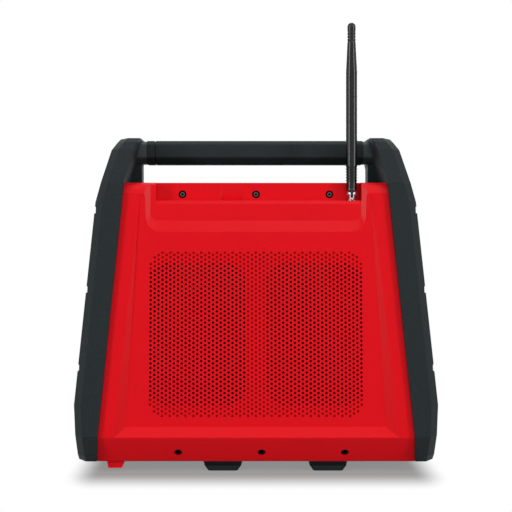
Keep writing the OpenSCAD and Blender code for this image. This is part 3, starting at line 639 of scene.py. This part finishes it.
class RADIO_OT_handle(bpy.types.Operator):
    """Bar handle: grip, collars and tube"""
    bl_idname = "radio.handle"
    bl_label = "Handle"

    def execute(self, context):
        dress("handle_grip", "grip_sleeve", "grip_rubber", 0.0012, 3, 12)
        dress("handle_collar_left", "collar_left", "collar_moulding", 0.0007, 2, 12)
        dress("handle_collar_right", "collar_right", "collar_moulding", 0.0007, 2, 12)
        coat(["handle_tube"], "zinc_steel")
        return {"FINISHED"}


class RADIO_OT_screws(bpy.types.Operator):
    """Socket screws in the back, the bumpers and the handle"""
    bl_idname = "radio.screws"
    bl_label = "Screws"

    def execute(self, context):
        upper = dress("rear_upper_screws", "rear_upper_socket_screws", "screw_steel", 0.0002, 2, 40,
                      reshape=self.taper_heads)
        dress("rear_lower_screws", "rear_lower_socket_screws", "black_oxide", 0.0003, 2, 40,
              reshape=self.lift_heads)
        dress("end_cap_screws", "end_cap_socket_screws", "black_oxide", 0.0003, 2, 40)
        dress("handle_bolts", "handle_socket_bolts", "black_oxide", 0.0003, 2, 40)
        # Only the upper heads' front faces are bare steel; their sockets and their sides down in the holes
        # get near-black painted shade, where they lie in shadow
        upper.data.materials.append(finish("socket_painted_shade"))
        face = min(point.co.y for point in upper.data.vertices)
        for side in upper.data.polygons:
            if side.normal.y > -0.5 or side.center.y > face + 0.0006:
                side.material_index = 1
        return {"FINISHED"}

    @staticmethod
    def taper_heads(piece):
        """Upper heads that narrow towards their faces, with narrower sockets"""
        front_part, socket_radius = 0.0022, 0.0018
        axes = [Vector((x, 0, UPPER_SCREW_Z)) for x in UPPER_SCREW_X]
        face = min(point.co.y for point in piece.data.vertices)
        for point in piece.data.vertices:
            flat = Vector((point.co.x, 0, point.co.z))
            away = min((flat - axis for axis in axes), key=lambda v: v.length)
            if point.co.y < face + front_part:
                point.co -= away * (0.42 if away.length > socket_radius else 0.2)

    @staticmethod
    def lift_heads(piece):
        """Lower heads that lie close under the leaning band: only their outer ends move"""
        outer_end, lift = -0.0049, 0.0021
        for point in piece.data.vertices:
            if (point.co - BAND_FOOT).dot(BAND_NORMAL) > outer_end:
                point.co += BAND_NORMAL * lift


class RADIO_OT_feet(bpy.types.Operator):
    """Rubber feet"""
    bl_idname = "radio.feet"
    bl_label = "Feet"

    def execute(self, context):
        dress("feet", "rubber_feet", "bumper_rubber", 0.0004, 2, 30)
        return {"FINISHED"}


class RADIO_OT_aerial(bpy.types.Operator):
    """Folding aerial: bush, chrome fork, pin, ferrule and sleeve"""
    bl_idname = "radio.aerial"
    bl_label = "Aerial"

    def execute(self, context):
        coat(["aerial_bush"], "dark_nickel")
        dress("aerial_knuckle", "fork", "bright_chrome", 0.0002, 2, 40, reshape=self.waist)
        dress("aerial_pin", "fork_pin", "bright_chrome", 0.0001, 2, 40, reshape=self.trim_pin)
        dress("aerial_ferrule", "ferrule", "dark_nickel", 0.0002, 2, 40, reshape=self.widen)
        dress("aerial_whip", "whip_sleeve", "whip_sleeve", 0.00012, 2, 25, reshape=self.widen)
        return {"FINISHED"}

    @staticmethod
    def trim_pin(piece):
        """A pin that ends flush with the narrowed cheeks"""
        for point in piece.data.vertices:
            point.co.x = AERIAL_PIVOT.x + (point.co.x - AERIAL_PIVOT.x) * PIN_LEFT

    @staticmethod
    def waist(piece):
        """A fork whose cheeks narrow below the pin"""
        middle, pin = AERIAL_PIVOT.x, AERIAL_PIVOT.z
        edit(piece)
        for height in (pin + 0.0002, pin - 0.0004):
            bpy.ops.mesh.select_all(action="SELECT")
            bpy.ops.mesh.bisect(plane_co=(0, 0, height), plane_no=(0, 0, 1))
        done()
        for point in piece.data.vertices:
            side = point.co.x - middle
            if pin - 0.0035 < point.co.z < pin - 0.0003 and abs(side) > SLOT_HALF:
                cheek = (abs(side) - SLOT_HALF) * CHEEK_LEFT
                point.co.x = middle + math.copysign(SLOT_HALF + cheek, side)

    @staticmethod
    def widen(piece):
        """The collar over the fork and the sleeve's foot, nearly as wide as the sleeve"""
        for point in piece.data.vertices:
            away = Vector((point.co.x - AERIAL_PIVOT.x, point.co.y - AERIAL_PIVOT.y, 0))
            if point.co.z < AERIAL_PIVOT.z + 0.0100 and away.length > 0.003:
                point.co += away * (SLEEVE_FOOT_RADIUS / away.length - 1)


class RADIO_OT_controls(bpy.types.Operator):
    """Fascia, display and control board"""
    bl_idname = "radio.controls"
    bl_label = "Controls"

    def execute(self, context):
        dress("control_panel", "fascia", "black_moulding", 0.0005, 2, 30)
        # The window is thinned from behind, which leaves room for the display's segments
        lens = dress("display_lens", "display_window", "window", 0.0003, 2, 40)
        for point in lens.data.vertices:
            if (point.co - CREST).dot(FRONT_NORMAL) < -0.0012:
                point.co += FRONT_NORMAL * 0.0008
        coat(["display_module"], "display_film")
        coat(["control_board", "main_board"], "solder_resist")
        coat(["encoders"], "black_moulding")
        coat(["volume_shaft", "tuning_shaft"], "zinc_steel")
        return {"FINISHED"}


class RADIO_OT_keys(bpy.types.Operator):
    """Rubber keys and the two knobs"""
    bl_idname = "radio.keys"
    bl_label = "Keys and knobs"

    def execute(self, context):
        keys = ["power_button", "mode_button"] + ["preset_button_%d" % i for i in range(1, 5)]
        for key in keys:
            dress(key, key.replace("button", "key"), "key_rubber", 0.0003, 3, 30, simplify=False)
        for knob in ("volume_knob", "tuning_knob"):
            dress(knob, knob.replace("knob", "dial"), "key_rubber", 0.0006, 2, 40)
        return {"FINISHED"}


class RADIO_OT_markings(bpy.types.Operator):
    """Marks on the keys and the dials, and the display's segments"""
    bl_idname = "radio.markings"
    bl_label = "Markings"

    def execute(self, context):
        self.key_marks()
        self.dial_marks()
        self.display_segments()
        return {"FINISHED"}

    def key_marks(self):
        """Bars on the presets, a power symbol and a list mark, printed on the keys' faces"""
        up, out = up_front(KEY_Z), KEY_PROUD + PRINT_THICK / 4
        for i in range(4):
            piece = bars("preset_mark_%d" % (i + 1), [(0, 0, 0.0044, 0.0007, 0)], PRINT_THICK)
            lay_on_front(piece, (i - 0.5) * KEY_GAP, up, out)
            printed(piece, "preset_button_%d_body" % (i + 1), "pale_print")
        power = self.power_symbol()
        lay_on_front(power, -2.5 * KEY_GAP, up, out)
        printed(power, "power_button_body", "pale_print")
        mode = bars("mode_mark", [(0, y, 0.0044, 0.0006, 0) for y in (-0.0014, 0, 0.0014)], PRINT_THICK)
        lay_on_front(mode, -1.5 * KEY_GAP, up, out)
        printed(mode, "mode_button_body", "pale_print")

    def power_symbol(self):
        """An open ring with a bar in its gap"""
        deselect()
        bpy.ops.mesh.primitive_circle_add(vertices=36, radius=0.0021)
        ring = bpy.context.object
        ring.name = "power_mark"
        choose(ring)
        bpy.ops.object.mode_set(mode="EDIT")
        bpy.ops.mesh.select_all(action="SELECT")
        bpy.ops.mesh.extrude_edges_move()
        bpy.ops.transform.resize(value=(0.72, 0.72, 1))
        bpy.ops.mesh.select_all(action="DESELECT")
        done()
        for face in ring.data.polygons:
            face.select = face.center.y > abs(face.center.x) * 1.7
        bpy.ops.object.mode_set(mode="EDIT")
        bpy.context.tool_settings.mesh_select_mode = (False, False, True)
        bpy.ops.mesh.delete(type="FACE")
        done()
        bpy.context.tool_settings.mesh_select_mode = (True, False, False)
        thicken(ring, PRINT_THICK)
        bar = bars("power_bar", [(0, 0.0014, 0.0006, 0.0022, 0)], PRINT_THICK)
        deselect()
        bar.select_set(True)
        ring.select_set(True)
        bpy.context.view_layer.objects.active = ring
        bpy.ops.object.join()
        return ring

    def dial_marks(self):
        """Ticks round each dial, and a pointer on its face"""
        up, radius = up_front(DIAL_Z), 0.0178
        for side, body in ((-1, "volume"), (1, "tuning")):
            rows = []
            for i in range(11):
                angle = math.radians(-135 + 27 * i)
                length = 0.0026 if i % 5 == 0 else 0.0016
                rows.append((radius * math.sin(angle), radius * math.cos(angle), 0.0007, length, -angle))
            ticks = bars(body + "_ticks", rows, PRINT_THICK)
            lay_on_front(ticks, side * DIAL_X, up, 0.0008 + PRINT_THICK / 4)
            printed(ticks, "case", "pale_print")
            pointer = bars(body + "_pointer", [(0, 0.0098, 0.0012, 0.0052, 0)], 0.0003)
            lay_on_front(pointer, side * DIAL_X, up, 0.0141)
            printed(pointer, body, "pale_print")

    def display_segments(self):
        """Seven-segment figures, a point and a signal meter, under the window"""
        width, height, line = 0.0048, 0.0115, 0.00105
        place = {"a": (0, height / 2, 1), "g": (0, 0, 1), "d": (0, -height / 2, 1),
                 "f": (-width / 2, height / 4, 0), "b": (width / 2, height / 4, 0),
                 "e": (-width / 2, -height / 4, 0), "c": (width / 2, -height / 4, 0)}
        digits = {"9": "abcdfg", "8": "abcdefg", "5": "acdfg", "1": "bc"}
        rows = []
        for i, digit in enumerate("985"):
            middle = (-0.0105, 0, 0.0125)[i]
            for segment in digits[digit]:
                x, y, flat = place[segment]
                size = (width - line * 1.2, line) if flat else (line, height / 2 - line * 1.2)
                rows.append((middle + x, y, *size, 0))
        rows.append((0.0062, -height / 2, line * 1.2, line * 1.2, 0))
        rows += [(0.0215 + 0.0016 * i, -0.0055 + 0.0007 * i, 0.001, 0.0014 + 0.0014 * i, 0) for i in range(4)]
        piece = bars("display_figures", rows, 0.00008)
        lay_on_front(piece, 0, up_front(DIAL_Z), -0.0015)
        printed(piece, "case", "display_ink")


class RADIO_OT_speakers(bpy.types.Operator):
    """Front speakers with their grilles, and the passive radiators behind the back"""
    bl_idname = "radio.speakers"
    bl_label = "Speakers"

    def execute(self, context):
        for side in ("left", "right"):
            coat(["speaker_grille_" + side], "grille_paint")
            coat(["speaker_frame_" + side], "black_oxide")
            coat(["speaker_cone_" + side, "radiator_cone_" + side], "cone_paper")
            coat(["speaker_magnet_" + side], "ferrite")
            coat(["radiator_frame_" + side], "black_moulding")
        return {"FINISHED"}


class RADIO_OT_bays(bpy.types.Operator):
    """Battery bay and socket box with their hinged doors"""
    bl_idname = "radio.bays"
    bl_label = "Bays and doors"

    def execute(self, context):
        coat(["battery_box", "aux_box"], "black_moulding")
        coat(["battery_contacts", "battery_door_pin", "aux_door_pin", "aux_sockets"], "zinc_steel")
        dress("battery_door", "battery_hatch_panel", "red_moulding", 0.0004, 2, 30)
        dress("aux_door", "aux_flap", "key_rubber", 0.0004, 2, 30)
        return {"FINISHED"}


# Stage

# Half width and half depth of the painted shadow under the radio, a grey zone of the floor that stands in for
# its drop shadow, and how far in front this painted shadow runs out. At the ends it runs out sooner.
PAINTED_SHADOW_HALF_SIZE = (0.118, 0.066, 0)
PAINTED_SHADOW_REACH = 0.048
PAINTED_SHADOW_STRETCH = (1.8, 1, 0)
# Name, place, aim, size and power in watts. The two strips draw the aerial's streaks.
LAMPS = [
    ("overhead", (0, 0.05, 1.6), (0, 0, 0.1), (1.4, 0.9), 6),
    ("high_key", (0.45, -1.2, 1.2), (0, 0, 0.14), (1.4, 0.7), 5.6),
    ("left_strip", (-1.2, -0.95, 0.45), (0, 0, 0.25), (0.2, 1.2), 11.5),
    ("right_strip", (1.25, -0.92, 0.45), (0, 0, 0.25), (0.2, 1.2), 10),
    ("behind", (0, 1.5, 0.8), (0, 0, 0.12), (1.6, 1.0), 12),
]
# The camera stands level behind the radio, and the shift in pixels of a 512-pixel frame only frames it
CAMERA_PLACE = (-0.0127, -0.827, 0.192)
LENS, SENSOR = 70.8, 36.0
SHIFT_X, SHIFT_Y, FRAME_PIXELS = 16.8, -36, 512


def softbox(name, place, aim, size, power):
    """A soft rectangular lamp at a place, aimed at a point"""
    data = bpy.data.lights.new(name, "AREA")
    data.shape = "RECTANGLE"
    data.size, data.size_y = size
    data.energy = power
    lamp = bpy.data.objects.new(name, data)
    bpy.context.collection.objects.link(lamp)
    lamp.location = place
    lamp.rotation_euler = (Vector(aim) - Vector(place)).to_track_quat("-Z", "Y").to_euler()
    return lamp


def seen_directly(graph):
    """1 for camera, mirror and glass rays, else 0"""
    path = graph.node("ShaderNodeLightPath")
    either = graph.math("MAXIMUM", path.outputs["Is Camera Ray"], path.outputs["Is Glossy Ray"])
    return graph.math("MAXIMUM", either, path.outputs["Is Transmission Ray"])


class RADIO_OT_stage(bpy.types.Operator):
    """Pale floor with a painted shadow under the radio, white surroundings, soft lamps and the camera"""
    bl_idname = "radio.stage"
    bl_label = "Stage"

    def execute(self, context):
        scene = context.scene
        deselect()
        bpy.ops.mesh.primitive_plane_add(size=24, location=(0, 0, 0))
        floor = context.object
        floor.name = "floor"
        edit(floor)
        bpy.ops.mesh.select_all(action="SELECT")
        bpy.ops.mesh.subdivide(number_cuts=6)
        done()
        floor.data.materials.append(self.floor_material())
        self.surroundings(scene)
        for lamp in LAMPS:
            softbox(*lamp)
        self.camera(scene)
        scene.view_settings.view_transform = "Standard"
        return {"FINISHED"}

    def floor_material(self):
        """Pale floor with a painted shadow: seen directly, it is a flat grey near the radio that stands in
        for the radio's drop shadow and keeps only a little real shade, and it runs into plain white away from
        the radio, so that no horizon shows
        """
        item, graph, shader, place = blank_material("pale_floor_with_painted_shadow")
        shader.inputs["Roughness"].default_value = 0.9
        shader.inputs["Specular IOR Level"].default_value = 0.0
        seen = seen_directly(graph)
        # Seen directly, the floor takes little light and glows a steady grey: this is the painted shadow,
        # with only a little real shade left in it
        tone = graph.node("ShaderNodeMix", data_type="RGBA")
        tone.inputs["A"].default_value = (0.42, 0.42, 0.42, 1)
        tone.inputs["B"].default_value = (0.12, 0.12, 0.12, 1)
        graph.link(seen, tone.inputs["Factor"])
        graph.link(tone.outputs["Result"], shader.inputs["Base Color"])
        shader.inputs["Emission Color"].default_value = (1, 1, 1, 1)
        graph.link(graph.math("MULTIPLY", seen, 0.26), shader.inputs["Emission Strength"])
        # Distance from the radio's footprint, over which the painted shadow runs out into white
        outside = graph.node("ShaderNodeVectorMath", operation="ABSOLUTE")
        graph.link(place, outside.inputs[0])
        beyond = graph.node("ShaderNodeVectorMath", operation="SUBTRACT")
        beyond.inputs[1].default_value = PAINTED_SHADOW_HALF_SIZE
        graph.link(outside.outputs["Vector"], beyond.inputs[0])
        clipped = graph.node("ShaderNodeVectorMath", operation="MAXIMUM")
        clipped.inputs[1].default_value = (0, 0, 0)
        graph.link(beyond.outputs["Vector"], clipped.inputs[0])
        stretched = graph.node("ShaderNodeVectorMath", operation="MULTIPLY")
        stretched.inputs[1].default_value = PAINTED_SHADOW_STRETCH
        graph.link(clipped.outputs["Vector"], stretched.inputs[0])
        distance = graph.node("ShaderNodeVectorMath", operation="LENGTH")
        graph.link(stretched.outputs["Vector"], distance.inputs[0])
        fade = graph.node("ShaderNodeMapRange", interpolation_type="SMOOTHSTEP")
        fade.inputs["From Min"].default_value = 0.0
        fade.inputs["From Max"].default_value = PAINTED_SHADOW_REACH
        graph.link(distance.outputs["Value"], fade.inputs["Value"])
        white = graph.node("ShaderNodeEmission")
        white.inputs["Color"].default_value = (1, 1, 1, 1)
        blend = graph.node("ShaderNodeMixShader")
        graph.link(graph.math("MULTIPLY", fade.outputs["Result"], seen), blend.inputs["Fac"])
        graph.link(shader.outputs["BSDF"], blend.inputs[1])
        graph.link(white.outputs["Emission"], blend.inputs[2])
        surface = next(n for n in graph.tree.nodes if n.bl_idname == "ShaderNodeOutputMaterial")
        graph.link(blend.outputs["Shader"], surface.inputs["Surface"])
        return item

    def surroundings(self, scene):
        world = bpy.data.worlds.new("studio")
        world.use_nodes = True
        world.node_tree.nodes.clear()
        graph = Graph(world.node_tree)
        light = graph.node("ShaderNodeBackground")
        light.inputs["Strength"].default_value = 0.46
        white = graph.node("ShaderNodeBackground")
        white.inputs["Strength"].default_value = 1.0
        mix = graph.node("ShaderNodeMixShader")
        out = graph.node("ShaderNodeOutputWorld")
        light.inputs["Color"].default_value = (1, 1, 1, 1)
        white.inputs["Color"].default_value = (1, 1, 1, 1)
        graph.link(seen_directly(graph), mix.inputs["Fac"])
        graph.link(light.outputs["Background"], mix.inputs[1])
        graph.link(white.outputs["Background"], mix.inputs[2])
        graph.link(mix.outputs["Shader"], out.inputs["Surface"])
        scene.world = world

    def camera(self, scene):
        data = bpy.data.cameras.new("camera")
        data.lens = LENS
        data.sensor_width = SENSOR
        data.shift_x = SHIFT_X / FRAME_PIXELS
        data.shift_y = SHIFT_Y / FRAME_PIXELS
        data.dof.use_dof = False
        camera = bpy.data.objects.new("camera", data)
        bpy.context.collection.objects.link(camera)
        camera.location = CAMERA_PLACE
        camera.rotation_euler = (math.radians(90), 0, 0)
        scene.camera = camera


# Panel and registration

PIECES = [RADIO_OT_rear_cover, RADIO_OT_rear_grilles, RADIO_OT_front_cover, RADIO_OT_chassis,
          RADIO_OT_bumpers, RADIO_OT_handle, RADIO_OT_screws, RADIO_OT_feet, RADIO_OT_aerial,
          RADIO_OT_controls, RADIO_OT_keys, RADIO_OT_markings, RADIO_OT_speakers, RADIO_OT_bays]


class RADIO_PT_sidebar(bpy.types.Panel):
    """Sizes, colours and pieces of the radio"""
    bl_idname = "RADIO_PT_sidebar"
    bl_label = "Jobsite radio"
    bl_space_type = "VIEW_3D"
    bl_region_type = "UI"
    bl_category = "Radio"

    def draw(self, context):
        for settings in (context.scene.radio_sizes, context.scene.radio_colours):
            for name in settings.__annotations__:
                self.layout.prop(settings, name)
        for piece in PIECES + [RADIO_OT_stage]:
            self.layout.operator(piece.bl_idname)


CLASSES = [RadioSizes, RadioColours] + PIECES + [RADIO_OT_stage, RADIO_PT_sidebar]


def register():
    for item in CLASSES:
        bpy.utils.register_class(item)
    bpy.types.Scene.radio_sizes = bpy.props.PointerProperty(type=RadioSizes)
    bpy.types.Scene.radio_colours = bpy.props.PointerProperty(type=RadioColours)


def unregister():
    del bpy.types.Scene.radio_colours
    del bpy.types.Scene.radio_sizes
    for item in reversed(CLASSES):
        bpy.utils.unregister_class(item)


def main():
    register()
    bpy.ops.radio.stage()
    bpy.ops.radio.rear_cover()
    bpy.ops.radio.rear_grilles()
    bpy.ops.radio.front_cover()
    bpy.ops.radio.chassis()
    bpy.ops.radio.bumpers()
    bpy.ops.radio.handle()
    bpy.ops.radio.screws()
    bpy.ops.radio.feet()
    bpy.ops.radio.aerial()
    bpy.ops.radio.controls()
    bpy.ops.radio.keys()
    bpy.ops.radio.markings()
    bpy.ops.radio.speakers()
    bpy.ops.radio.bays()


if __name__ == "__main__":
    main()
